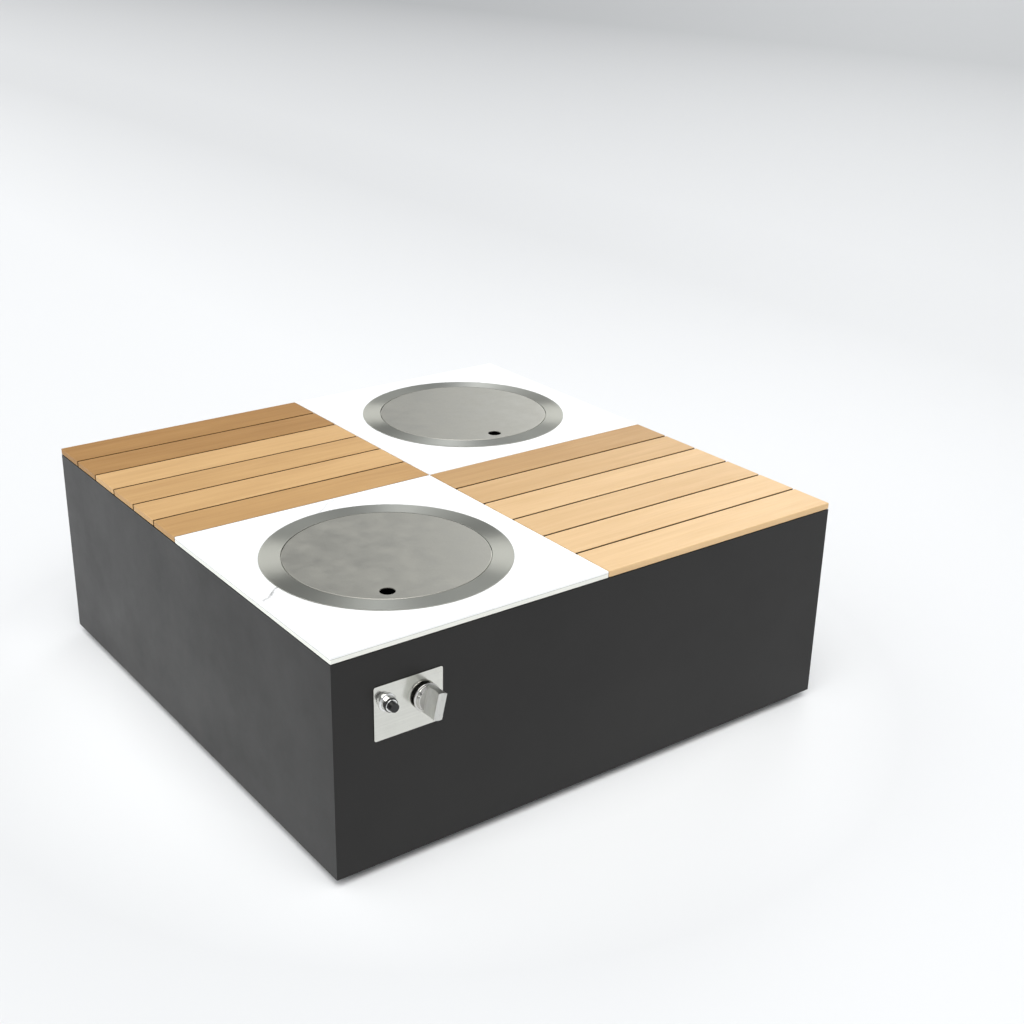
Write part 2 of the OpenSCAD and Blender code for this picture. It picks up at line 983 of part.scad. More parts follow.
module heat_shield() {
    color(stainless)
        at_fire_well()
            difference() {
                union() {
                    rod_z(0, 0, shield_z, shield_z + shield_t, shield_r);
                    difference() {
                        rod_z(0, 0, shield_z, shield_z + shield_rim, shield_r);
                        rod_z(0, 0, shield_z - 1, shield_z + shield_rim + 1, shield_r - shield_t);
                    }
                }
                rod_z(0, 0, shield_z - 1, shield_z + shield_t + 1, collar_r + 2);
                at_standoffs()
                    rod_z(0, 0, shield_z - 1, shield_z + shield_t + 1, rivet_d / 2 + screw_play);
                at_probe(electrode_turn)
                    rod_z(0, 0, shield_z - 1, shield_z + shield_t + 1, lead_hole_d / 2);
                at_probe(couple_turn)
                    rod_z(0, 0, shield_z - 1, shield_z + shield_t + 1, lead_hole_d / 2);
            }
}

module shield_standoffs() {
    color(stainless)
        at_fire_well()
            at_standoffs() {
                rod_z(0, 0, shield_z + shield_t, fire_base, standoff_d / 2);
                rod_z(0, 0, shield_z - rivet_head_t, fire_floor + rivet_head_t, rivet_d / 2);
                rod_z(0, 0, shield_z - rivet_head_t, shield_z, rivet_head_d / 2);
                rod_z(0, 0, fire_floor, fire_floor + rivet_head_t, rivet_head_d / 2);
            }
}

// Igniter, electrode and thermocouple

function probe_place(turn, z) = [
    fire_x + probe_out * cos(turn),
    fire_y + probe_out * sin(turn),
    z
];

module electrode() {
    tip_z = burner_z + 4;
    color(marble)
        at_fire_well()
            at_probe(electrode_turn) {
                rod_z(0, 0, electrode_low, tip_z - 10, ceramic_d / 2);
                rod_z(0, 0, fire_base - 3, fire_base, ceramic_d / 2 + 3);
                rod_z(0, 0, tip_z - 11, tip_z, 1);
                translate([0, 0, tip_z - 1])
                    rotate([0, -90, 0])
                        cylinder(h = probe_out - burner_ring_r - burner_tube_r - 3, r = 1);
            }
}

module ignition_lead() {
    start = probe_place(electrode_turn, electrode_low);
    end = [igniter_x, barrel_back_y + lead_gap, igniter_z];
    route = [
        start,
        start + [0, 0, -16],
        start + [0, 0, -34],
        start + [-14, -22, -48],
        (start + end) / 2 + [-6, 0, -50],
        end + [0, 30, -34],
        end + [0, 20, -6],
        end + [0, 10, 0],
        end
    ];
    color(iron)
        swept_tube(smooth(route, 4), 1.5, 8, [0.9, 0.1, 0.3]);
}

module thermocouple() {
    color(brass)
        at_fire_well()
            at_probe(couple_turn) {
                rod_z(0, 0, couple_low, burner_z + 12, couple_d / 2);
                hex_z(0, 0, fire_base - 5, fire_base, couple_d / 2 + 4);
            }
    start = probe_place(couple_turn, couple_low + 0.5);
    end = [knob_x, valve_back_y + magnet_l + lead_gap, knob_z];
    route = [
        start,
        start + [0, 0, -16],
        start + [0, 0, -32],
        start + [-12, -12, -46],
        [(start.x + end.x) / 2, (start.y + end.y) / 2, end.z - 48],
        end + [0, 26, -30],
        end + [0, 17, -6],
        end + [0, 9, 0],
        end
    ];
    color(brass)
        swept_tube(smooth(route, 4), 1.25, 8, [0.9, 0.1, 0.3]);
}

module igniter_body() {
    color(ink)
        difference() {
            union() {
                rod_y(igniter_x, igniter_z, barrel_lip_y, barrel_back_y, barrel_r);
                rod_y(igniter_x, igniter_z, skin_y, skin_y + 4, barrel_r + 3);
            }
            rod_y(igniter_x, igniter_z, barrel_lip_y - 1, spring_end_y, barrel_bore_r);
        }
}

module igniter_collar() {
    lip_r = button_d / 2 + hole_play;
    color(stainless)
        difference() {
            union() {
                rod_y(igniter_x, igniter_z, plate_y - 8, plate_y, collar_d / 2);
                rod_y(igniter_x, igniter_z, barrel_lip_y - lip_t, plate_y - 8, collar_d / 2 - 2);
            }
            rod_y(igniter_x, igniter_z, barrel_lip_y, plate_y + 1, barrel_r + slide_play);
            rod_y(igniter_x, igniter_z, barrel_lip_y - lip_t - 1, barrel_lip_y + 1, lip_r);
        }
}

module igniter_button() {
    color(ink) {
        rod_y(igniter_x, igniter_z, barrel_lip_y, button_back_y, button_skirt_r);
        rod_y(igniter_x, igniter_z, button_front_y, barrel_lip_y, button_d / 2);
    }
}

module igniter_spring() {
    steps = 12;
    coil_r = barrel_bore_r - 2;
    rise = spring_l - 2 * spring_wire - 0.2;
    line = [
        for (i = [0 : spring_turns * steps])
            [
                igniter_x + coil_r * cos(360 * i / steps),
                button_back_y + spring_wire + 0.1 + rise * i / (spring_turns * steps),
                igniter_z + coil_r * sin(360 * i / steps)
            ]
    ];
    color(stainless)
        swept_tube(line, spring_wire, 6, [0, 1, 0]);
}

// Control plate, valve and knob

module control_plate() {
    inner_w = plate_w - 2 * plate_corner;
    inner_h = plate_h - 2 * plate_corner;
    color(stainless)
        difference() {
            union() {
                translate([plate_x, front_y, plate_z])
                    rotate([90, 0, 0])
                        linear_extrude(plate_t)
                            union() {
                                square([plate_w, inner_h], center = true);
                                square([inner_w, plate_h], center = true);
                                for (sx = sides)
                                    for (sy = sides)
                                        translate([sx * inner_w / 2, sy * inner_h / 2])
                                            circle(r = plate_corner);
                            }
                at_studs()
                    rod_y(0, 0, plate_y + plate_t / 2, front_y + stud_l, stud_d / 2);
            }
            rod_y(knob_x, knob_z, plate_y - 1, front_y + 1, neck_d / 2 + hole_play);
            rod_y(igniter_x, igniter_z, plate_y - 1, front_y + 1, barrel_r + hole_play);
        }
}

module plate_nuts() {
    color(stainless)
        at_studs()
            difference() {
                hex_y(0, 0, skin_y, skin_y + stud_nut_t, stud_d);
                rod_y(0, 0, skin_y - 1, skin_y + stud_nut_t + 1, stud_d / 2 + slide_play);
            }
}

module gas_valve() {
    half = valve_w / 2;
    color(brass)
        difference() {
            union() {
                box(
                    [knob_x - half, valve_front_y, knob_z - half],
                    [knob_x + half, valve_back_y, knob_z + half]
                );
                rod_y(knob_x, knob_z, plate_y - neck_nut_t - 1, valve_front_y + 1, neck_d / 2);
                rod_y(knob_x, knob_z, valve_back_y - 1, valve_back_y + magnet_l, magnet_d / 2);
                rod_z(knob_x, valve_port_y, knob_z - half - port_boss_l, knob_z, port_boss_r);
                translate([knob_x, valve_port_y, knob_z])
                    rotate([0, 90, 0])
                        cylinder(h = half + port_boss_l, r = port_boss_r);
            }
            rod_y(knob_x, knob_z, plate_y - neck_nut_t - 2, valve_room_y + 1, stem_d / 2 + slide_play);
            rod_y(knob_x, knob_z, valve_room_y, valve_back_y - 6, valve_room_r);
            rod_z(
                knob_x,
                valve_port_y,
                knob_z - half - port_boss_l - 1,
                knob_z - half - port_boss_l + pipe_seat,
                pipe_d / 2 + slide_play
            );
            translate([knob_x + half + port_boss_l - pipe_seat, valve_port_y, knob_z])
                rotate([0, 90, 0])
                    cylinder(h = pipe_seat + 1, r = pipe_d / 2 + slide_play);
        }
}

module valve_nut() {
    color(stainless)
        difference() {
            hex_y(knob_x, knob_z, plate_y - neck_nut_t, plate_y, neck_nut_r);
            rod_y(knob_x, knob_z, plate_y - neck_nut_t - 1, plate_y + 1, neck_d / 2 + slide_play);
        }
}

// The flat side of the stem, grown by play for the knob's bore
module stem_form(y1, y2, play) {
    r = stem_d / 2 + play;
    intersection() {
        rod_y(0, 0, y1, y2, r);
        box([-r - 1, y1 - 1, -r - 1], [r + 1, y2 + 1, stem_flat + play]);
    }
}

module valve_stem() {
    color(brass)
        translate([knob_x, 0, knob_z])
            rotate([0, grip_lean, 0]) {
                stem_form(stem_front_y, plate_y - neck_nut_t - push_travel - 3, 0);
                rod_y(0, 0, plate_y - neck_nut_t - push_travel - 3, stem_end_y, stem_d / 2);
                rod_y(0, 0, valve_room_y + 0.5, stem_end_y, stem_collar_r);
            }
}

module valve_plunger() {
    color(stainless) {
        rod_y(knob_x, knob_z, stem_end_y + slide_play, stem_end_y + plunger_t, valve_room_r - 0.1);
        rod_y(knob_x, knob_z, stem_end_y + slide_play, stem_end_y + plunger_t + 4, 2.5);
    }
}

module control_knob() {
    grip_r = knob_d / 2 - 0.5;
    bore_end = stem_front_y - 1;
    color(stainless)
        translate([knob_x, 0, knob_z])
            rotate([0, grip_lean, 0])
                difference() {
                    union() {
                        rod_y(0, 0, knob_back_y - skirt_t, knob_back_y, knob_d / 2);
                        intersection() {
                            rod_y(0, 0, knob_front_y, knob_back_y - 1, grip_r);
                            box([-grip_w / 2, knob_front_y, -grip_r], [grip_w / 2, knob_back_y, grip_r]);
                        }
                    }
                    rod_y(0, 0, knob_back_y - knob_recess_t, knob_back_y + 1, knob_recess_r);
                    stem_form(bore_end, knob_back_y, slide_play);
                }
}

// Gas line

module gas_inlet() {
    color(brass)
        difference() {
            union() {
                rod_y(inlet_x, inlet_up, rear_y - inlet_in, rear_y + 1, inlet_neck_r);
                hex_y(inlet_x, inlet_up, rear_y, rear_y + inlet_hex_t, inlet_r + 5);
                rod_y(inlet_x, inlet_up, rear_y + inlet_hex_t - 1, rear_y + inlet_out, inlet_r);
            }
            rod_y(inlet_x, inlet_up, rear_y - inlet_in - 1, rear_y + inlet_out + 1, inlet_bore_r);
            rod_y(
                inlet_x,
                inlet_up,
                rear_y - inlet_in - 1,
                rear_y - inlet_in + inlet_seat,
                pipe_d / 2 + slide_play
            );
        }
}

module inlet_nut() {
    color(brass)
        difference() {
            hex_y(inlet_x, inlet_up, rear_y - sheet_t - inlet_nut_t, rear_y - sheet_t, inlet_neck_r + 5);
            rod_y(inlet_x, inlet_up, rear_y - sheet_t - inlet_nut_t - 1, rear_y, inlet_neck_r + slide_play);
        }
}

module inlet_pipe() {
    boss_z = knob_z - valve_w / 2 - port_boss_l;
    color(brass)
        pipe_run(
            [
                [inlet_x, rear_y - inlet_in + inlet_seat, inlet_up],
                [inlet_x, valve_port_y, inlet_up],
                [inlet_x, valve_port_y, boss_z + pipe_seat]
            ],
            pipe_d / 2,
            pipe_bend
        );
}

module burner_pipe() {
    boss_x = knob_x + valve_w / 2 + port_boss_l;
    color(brass)
        pipe_run(
            [
                [boss_x - pipe_seat, valve_port_y, knob_z],
                [burner_pipe_x, valve_port_y, knob_z],
                [burner_pipe_x, valve_port_y, burner_pipe_z],
                [burner_pipe_x, fire_y, burner_pipe_z],
                [fire_x, fire_y, burner_pipe_z],
                [fire_x, fire_y, injector_low + injector_seat]
            ],
            pipe_d / 2,
            pipe_bend
        );
}

outer_shell();
centre_rail();
side_rails();
corner_plates();
front_left_foot();
front_right_foot();
rear_left_foot();
rear_right_foot();
foot_screws();
top_seals();
front_stone_top();
rear_stone_top();
for (i = slat_numbers)
    slat(-1, i);
for (i = slat_numbers)
    slat(1, i);
battens();
wood_screws();
fire_rim();
fire_bowl();
cooler_rim();
cooler_bowl();
front_lid();
rear_lid();
bowl_clips();
clip_screws();
drain_plug();
fire_grate();
ring_burner();
mixing_tube();
burner_nut();
injector();
heat_shield();
shield_standoffs();
control_plate();
plate_nuts();
gas_valve();
valve_nut();
valve_stem();
valve_plunger();
control_knob();
igniter_body();
igniter_collar();
igniter_button();
igniter_spring();
electrode();
ignition_lead();
thermocouple();
gas_inlet();
inlet_nut();
inlet_pipe();
burner_pipe();
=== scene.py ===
import json
import math
import bpy
from mathutils import Matrix, Vector

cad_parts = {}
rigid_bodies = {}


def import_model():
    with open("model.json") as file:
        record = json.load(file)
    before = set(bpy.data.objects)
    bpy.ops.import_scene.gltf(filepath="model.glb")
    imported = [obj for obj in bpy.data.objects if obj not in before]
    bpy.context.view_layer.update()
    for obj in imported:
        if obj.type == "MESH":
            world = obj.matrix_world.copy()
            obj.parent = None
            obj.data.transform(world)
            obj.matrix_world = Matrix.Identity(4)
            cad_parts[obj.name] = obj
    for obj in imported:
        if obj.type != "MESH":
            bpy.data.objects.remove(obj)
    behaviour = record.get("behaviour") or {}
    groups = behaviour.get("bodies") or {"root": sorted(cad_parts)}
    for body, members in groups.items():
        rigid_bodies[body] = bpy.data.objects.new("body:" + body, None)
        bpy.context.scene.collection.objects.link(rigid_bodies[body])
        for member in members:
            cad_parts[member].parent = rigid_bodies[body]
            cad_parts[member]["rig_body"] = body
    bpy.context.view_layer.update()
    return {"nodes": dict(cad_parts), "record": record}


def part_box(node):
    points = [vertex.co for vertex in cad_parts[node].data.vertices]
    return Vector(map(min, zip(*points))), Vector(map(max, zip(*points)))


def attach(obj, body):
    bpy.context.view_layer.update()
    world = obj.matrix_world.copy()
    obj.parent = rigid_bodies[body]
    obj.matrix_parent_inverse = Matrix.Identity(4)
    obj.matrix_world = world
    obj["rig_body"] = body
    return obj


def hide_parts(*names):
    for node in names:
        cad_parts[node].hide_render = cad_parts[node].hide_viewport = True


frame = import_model()
print("frame loaded:", len(frame["nodes"]), "nodes")

# Working helpers

smoothAngle = math.radians(50)
cutPast = 0.01  # how far a cutting tool runs past what it cuts


def clearSelection():
    if bpy.context.mode != "OBJECT":
        bpy.ops.object.mode_set(mode="OBJECT")
    bpy.ops.object.select_all(action="DESELECT")


def takeUp(piece):
    clearSelection()
    piece.select_set(True)
    bpy.context.view_layer.objects.active = piece


def applyModifier(piece, kind, **settings):
    takeUp(piece)
    modifier = piece.modifiers.new(kind.title(), kind)
    for name, value in settings.items():
        setattr(modifier, name, value)
    bpy.ops.object.modifier_apply(modifier=modifier.name)


def easeEdges(piece, width, steps=2, angle=35):
    applyModifier(
        piece, "BEVEL", width=width, segments=steps, limit_method="ANGLE",
        angle_limit=math.radians(angle), use_clamp_overlap=True,
    )


def smooth(piece):
    takeUp(piece)
    bpy.ops.object.shade_smooth_by_angle(angle=smoothAngle)
    applyModifier(piece, "WEIGHTED_NORMAL", keep_sharp=True)


def settle(piece, name):
    takeUp(piece)
    bpy.ops.object.transform_apply(location=True, rotation=True, scale=True)
    piece.name = name
    piece.data.name = name
    return piece


def block(name, low, high):
    clearSelection()
    bpy.ops.mesh.primitive_cube_add(size=1, location=(Vector(low) + Vector(high)) / 2)
    piece = bpy.context.object
    piece.scale = Vector(high) - Vector(low)
    return settle(piece, name)


def rod(name, start, end, radius, sides=64):
    start, end = Vector(start), Vector(end)
    clearSelection()
    bpy.ops.mesh.primitive_cylinder_add(
        vertices=sides, radius=radius, depth=(end - start).length, location=(start + end) / 2,
        rotation=(end - start).to_track_quat("Z", "Y").to_euler(),
    )
    return settle(bpy.context.object, name)


def cut(piece, *tools):
    for tool in tools:
        applyModifier(piece, "BOOLEAN", object=tool, operation="DIFFERENCE", solver="EXACT")
        bpy.data.objects.remove(tool)


# Turns an outline of (distance out, height) points round the upright axis through centre
def turned(name, centre, outline, steps=128, closed=True):
    clearSelection()
    bpy.ops.mesh.primitive_plane_add(size=0.01, location=(0, 0, 0))
    piece = bpy.context.object
    bpy.ops.object.mode_set(mode="EDIT")
    bpy.ops.mesh.select_all(action="SELECT")
    bpy.ops.mesh.merge(type="CENTER")
    here = Vector((0, 0, 0))
    loop = list(outline) + ([outline[0]] if closed else [])
    for count, (out, height) in enumerate(loop):
        there = Vector((out, 0, height))
        if count == 0:
            bpy.ops.transform.translate(value=there - here)
        else:
            bpy.ops.mesh.extrude_region_move(TRANSFORM_OT_translate={"value": there - here})
        here = there
    bpy.ops.mesh.select_all(action="SELECT")
    bpy.ops.mesh.remove_doubles(threshold=1e-6)
    bpy.ops.mesh.select_all(action="SELECT")
    bpy.ops.mesh.spin(steps=steps, angle=math.tau, center=(0, 0, 0), axis=(0, 0, 1))
    bpy.ops.mesh.select_all(action="SELECT")
    bpy.ops.mesh.remove_doubles(threshold=1e-5)
    bpy.ops.mesh.normals_make_consistent(inside=False)
    bpy.ops.object.mode_set(mode="OBJECT")
    piece.location = centre
    return settle(piece, name)


# A quarter round between two straight stretches, as points from one to the other
def corner(middle, radius, fromTurn, toTurn, points=5):
    turns = [math.radians(fromTurn + (toTurn - fromTurn) * k / (points - 1)) for k in range(points)]
    return [(middle[0] + radius * math.cos(t), middle[1] + radius * math.sin(t)) for t in turns]


# Lays a piece that was turned upright along another axis, about a point
def layAlong(piece, pivot, axis):
    pivot = Vector(pivot)
    turn = Vector((0, 0, 1)).rotation_difference(Vector(axis)).to_matrix().to_4x4()
    piece.data.transform(Matrix.Translation(pivot) @ turn @ Matrix.Translation(-pivot))
    piece.data.update()


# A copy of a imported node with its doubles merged, its flat faces joined and its edges eased
def easedCopy(node, width, steps=2, angle=35):
    source = frame["nodes"][node]
    piece = source.copy()
    piece.data = source.data.copy()
    piece.parent = None
    bpy.context.scene.collection.objects.link(piece)
    for key in list(piece.keys()):
        del piece[key]
    takeUp(piece)
    bpy.ops.mesh.customdata_custom_splitnormals_clear()
    bpy.ops.object.mode_set(mode="EDIT")
    bpy.ops.mesh.select_all(action="SELECT")
    bpy.ops.mesh.remove_doubles(threshold=1e-6)
    bpy.ops.mesh.dissolve_limited(angle_limit=math.radians(0.5))
    bpy.ops.object.mode_set(mode="OBJECT")
    settle(piece, node + "_eased")
    if width:
        easeEdges(piece, width, steps, angle)
    return piece


def bodyOf(node):
    return frame["nodes"][node]["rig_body"]


def slotOf(node):
    return next(row["material_slot"] for row in frame["record"]["subparts"] if row["node"] == node)


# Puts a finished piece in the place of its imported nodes
def standFor(piece, material, *nodes):
    piece.data.materials.clear()
    piece.data.materials.append(material)
    smooth(piece)
    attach(piece, bodyOf(nodes[0]))
    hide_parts(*nodes)


# Material helpers

def newMaterial(name):
    material = bpy.data.materials.new(name)
    material.use_nodes = True
    return material, material.node_tree, material.node_tree.nodes["Principled BSDF"]


def wire(tree, kind, inputs, output=0, **settings):
    node = tree.nodes.new("ShaderNode" + kind)
    for name, value in settings.items():
        setattr(node, name, value)
    for name, value in inputs.items():
        if isinstance(value, bpy.types.NodeSocket):
            tree.links.new(value, node.inputs[name])
        else:
            node.inputs[name].default_value = value
    return node.outputs[output]


def math2(tree, operation, first, second=0.0, **settings):
    return wire(tree, "Math", {0: first, 1: second}, operation=operation, **settings)


# The place on a piece, measured from centre
def placed(tree, centre=(0, 0, 0)):
    spot = wire(tree, "TexCoord", {}, output=3)
    return wire(tree, "VectorMath", {0: spot, 1: centre}, operation="SUBTRACT")


def stretched(tree, vector, scale):
    return wire(tree, "Mapping", {"Vector": vector, "Scale": scale})


def parts(tree, vector):
    return wire(tree, "SeparateXYZ", {0: vector}).node.outputs


def scaled(tone, share):
    return tuple(share * v for v in tone)


def noise(tree, vector, scale, detail=4.0, roughness=0.5, distortion=0.0):
    return wire(tree, "TexNoise", {
        "Vector": vector, "Scale": scale, "Detail": detail, "Roughness": roughness, "Distortion": distortion,
    })


def spread(tree, value, low, high, toLow, toHigh):
    return wire(tree, "MapRange", {
        "Value": value, "From Min": low, "From Max": high, "To Min": toLow, "To Max": toHigh,
    })


def blendColour(tree, amount, first, second):
    node = tree.nodes.new("ShaderNodeMix")
    node.data_type = "RGBA"
    for index, value in ((0, amount), (6, first), (7, second)):
        if isinstance(value, bpy.types.NodeSocket):
            tree.links.new(value, node.inputs[index])
        else:
            node.inputs[index].default_value = (*value, 1) if isinstance(value, tuple) else value
    return node.outputs[2]


def relief(tree, shader, height, distance, strength=1.0, under=None):
    inputs = {"Height": height, "Distance": distance, "Strength": strength}
    if under is not None:
        inputs["Normal"] = under
    normal = wire(tree, "Bump", inputs)
    tree.links.new(normal, shader.inputs["Normal"])
    return normal


# Materials

powderLook = {
    "dark": (0.0065, 0.0060, 0.0056),
    "light": (0.0105, 0.0097, 0.0090),
    "grain": 1500.0,
    "grainHeight": 0.00006,
    "wave": 55.0,
    "waveHeight": 0.00010,
    "roughLow": 0.34,
    "roughHigh": 0.44,
    "speckShare": 3,  # how much lighter a grain's tip is
    "gloss": 0.31,
}


# Powder coat: fine sandy grain over a slow orange peel
def powderCoat(name, look):
    material, tree, shader = newMaterial(name)
    spot = placed(tree)
    clouds = noise(tree, spot, 3.0, 5.0, 0.6)
    fine = noise(tree, spot, look["grain"], 2.0)
    peel = noise(tree, spot, look["wave"], 2.0)
    colour = blendColour(tree, spread(tree, clouds, 0.3, 0.7, 0.0, 1.0), look["dark"], look["light"])
    speck = spread(tree, fine, 0.62, 0.75, 0.0, 0.25)
    colour = blendColour(tree, speck, colour, scaled(look["light"], look["speckShare"]))
    tree.links.new(colour, shader.inputs["Base Color"])
    rough = spread(tree, noise(tree, spot, 9.0, 6.0, 0.65), 0.3, 0.7, look["roughLow"], look["roughHigh"])
    tree.links.new(rough, shader.inputs["Roughness"])
    shader.inputs["Specular IOR Level"].default_value = look["gloss"]
    slow = relief(tree, shader, peel, look["waveHeight"], 0.5)
    relief(tree, shader, fine, look["grainHeight"], 0.6, slow)
    return material


stoneLook = {
    "top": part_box("front_stone_top")[1].z,
    "white": (0.93, 0.935, 0.93),
    "cloud": (0.88, 0.885, 0.89),
    "vein": (0.34, 0.34, 0.34),
    "edge": (0.86, 0.865, 0.80),
    "line": (0.50, 0.51, 0.46),
    "glaze": 0.0036,  # how far the white face comes down the edge
    "lineWidth": 0.0004,
    "wander": 0.030,  # how far a vein strays from its line
    "veins": [
        # from x and y, to x and y, width, strength
        (-0.492, -0.296, -0.446, -0.262, 0.0030, 1.10),
        (-0.470, -0.276, -0.440, -0.330, 0.0080, 0.16),
        (-0.262, -0.050, -0.205, -0.012, 0.0040, 0.50),
        (-0.070, -0.420, -0.020, -0.330, 0.0090, 0.16),
        (0.045, 0.080, 0.075, 0.110, 0.0050, 0.45),
        (0.270, 0.470, 0.345, 0.480, 0.0040, 0.60),
        (0.020, 0.300, 0.050, 0.360, 0.0060, 0.20),
        (0.400, 0.050, 0.480, 0.150, 0.0070, 0.20),
    ],
}


# Fired stone: nearly white, with slow grey clouds and a few thin broken veins
def firedStone(name, look):
    material, tree, shader = newMaterial(name)
    spot = placed(tree)
    drift = wire(tree, "TexNoise", {"Vector": spot, "Scale": 16.0, "Detail": 4.0, "Roughness": 0.6}, output=1)
    drift = wire(tree, "VectorMath", {0: drift, 1: (0.5, 0.5, 0.5)}, operation="SUBTRACT")
    drift = wire(tree, "VectorMath", {0: drift, "Scale": look["wander"]}, operation="SCALE")
    bent = wire(tree, "VectorMath", {0: spot, 1: drift}, operation="ADD")
    bent = wire(tree, "VectorMath", {0: bent, 1: (1, 1, 0)}, operation="MULTIPLY")
    breaks = noise(tree, spot, 60.0, 5.0, 0.7)
    total = None
    for x1, y1, x2, y2, width, strength in look["veins"]:
        start, along = Vector((x1, y1, 0)), Vector((x2 - x1, y2 - y1, 0))
        away = wire(tree, "VectorMath", {0: bent, 1: start}, operation="SUBTRACT")
        step = along / along.length_squared
        share = wire(tree, "VectorMath", {0: away, 1: step}, 1, operation="DOT_PRODUCT")
        held = math2(tree, "ADD", share, 0.0, use_clamp=True)
        foot = wire(tree, "VectorMath", {0: along, "Scale": held}, operation="SCALE")
        off = wire(tree, "VectorMath", {0: away, 1: foot}, operation="SUBTRACT")
        off = wire(tree, "VectorMath", {0: off}, 1, operation="LENGTH")
        mark = spread(tree, off, 0.0, width, strength, 0.0)
        core = math2(tree, "MULTIPLY", mark, spread(tree, breaks, 0.35, 0.65, 0.25, 1.0))
        total = core if total is None else math2(tree, "ADD", total, core, use_clamp=True)
    cloud = spread(tree, noise(tree, bent, 5.0, 6.0, 0.65), 0.45, 0.75, 0.0, 1.0)
    colour = blendColour(tree, cloud, look["white"], look["cloud"])
    colour = blendColour(tree, total, colour, look["vein"])
    down = math2(tree, "SUBTRACT", look["top"], parts(tree, spot)[2])
    colour = blendColour(tree, math2(tree, "GREATER_THAN", down, look["glaze"]), colour, look["edge"])
    line = math2(tree, "COMPARE", down, look["glaze"])
    line.node.inputs[2].default_value = look["lineWidth"]
    colour = blendColour(tree, line, colour, look["line"])
    tree.links.new(colour, shader.inputs["Base Color"])
    rough = spread(tree, noise(tree, spot, 140.0, 3.0), 0.3, 0.7, 0.30, 0.42)
    tree.links.new(rough, shader.inputs["Roughness"])
    relief(tree, shader, noise(tree, spot, 420.0, 3.0), 0.00004, 0.5)
    return material


teakLook = {
    "gloss": 0.22,
    "figure": 0.55,
    "fibre": 0.16,
    "pores": 0.22,
    "poreShade": 0.62,
    "patch": 0.30,
    "outerEdge": 0.497,  # past this far from the middle of the table a side is seen from outside, and gets no painted shade
    # share of the dark tone left on slat sides in the gaps, as painted shade between the slats
    "paintedGapShade": 0.16,
    "sideFacing": 0.8,  # a face that turns this far to the front or rear is a slat's side
}


# Oiled teak: long quiet grain along X, fine pores, a slow change of tone, and painted shade darkening the
# slat sides in the gaps
def teak(name, light, dark, shift):
    material, tree, shader = newMaterial(name)
    base = placed(tree, shift)
    lean = wire(tree, "TexNoise", {"Vector": base, "Scale": 2.2, "Detail": 2.0}, output=1)
    lean = wire(tree, "VectorMath", {0: lean, 1: (0.5, 0.5, 0.5)}, operation="SUBTRACT")
    lean = wire(tree, "VectorMath", {0: lean, 1: (0.0, 0.035, 0.02)}, operation="MULTIPLY")
    bent = wire(tree, "VectorMath", {0: base, 1: lean}, operation="ADD")
    rings = noise(tree, stretched(tree, bent, (1.6, 26.0, 26.0)), 2.4, 6.0, 0.62, 0.4)
    pores = noise(tree, stretched(tree, bent, (14.0, 520.0, 520.0)), 1.6, 3.0, 0.6)
    fibre = noise(tree, stretched(tree, bent, (5.0, 210.0, 210.0)), 1.3, 4.0, 0.65)
    tone = noise(tree, stretched(tree, base, (3.0, 7.0, 7.0)), 1.2, 3.0)
    colour = blendColour(tree, spread(tree, rings, 0.35, 0.75, 0.0, teakLook["figure"]), light, dark)
    colour = blendColour(tree, spread(tree, fibre, 0.35, 0.75, 0.0, teakLook["fibre"]), colour, dark)
    pore = scaled(dark, teakLook["poreShade"])
    colour = blendColour(tree, spread(tree, pores, 0.60, 0.78, 0.0, teakLook["pores"]), colour, pore)
    colour = blendColour(tree, spread(tree, tone, 0.40, 0.72, 0.0, teakLook["patch"]), colour, dark)
    # Painted shade: the sides of slats that face another slat are darkened, as the shade in the gaps between
    # slats
    across = math2(tree, "ABSOLUTE", parts(tree, wire(tree, "TexCoord", {}, output=3))[1])
    facing = math2(tree, "ABSOLUTE", parts(tree, wire(tree, "NewGeometry", {}, output=3))[1])
    inner = math2(tree, "LESS_THAN", across, teakLook["outerEdge"])
    paintedShade = math2(tree, "MULTIPLY", inner, math2(tree, "GREATER_THAN", facing, teakLook["sideFacing"]))
    colour = blendColour(tree, paintedShade, colour, scaled(dark, teakLook["paintedGapShade"]))
    tree.links.new(colour, shader.inputs["Base Color"])
    tree.links.new(spread(tree, fibre, 0.3, 0.7, 0.42, 0.58), shader.inputs["Roughness"])
    shader.inputs["Specular IOR Level"].default_value = teakLook["gloss"]
    grain = relief(tree, shader, fibre, 0.00010, 0.4)
    relief(tree, shader, pores, 0.00008, 0.3, grain)
    return material


steelLook = {
    "rimTone": (0.430, 0.432, 0.392),
    "lidTone": (0.590, 0.577, 0.515),
    "rings": 1500.0,  # scratches to a metre, outwards and upwards
    "layers": 900.0,
    "ringRough": 0.50,
    "ringSpin": 0.95,
}


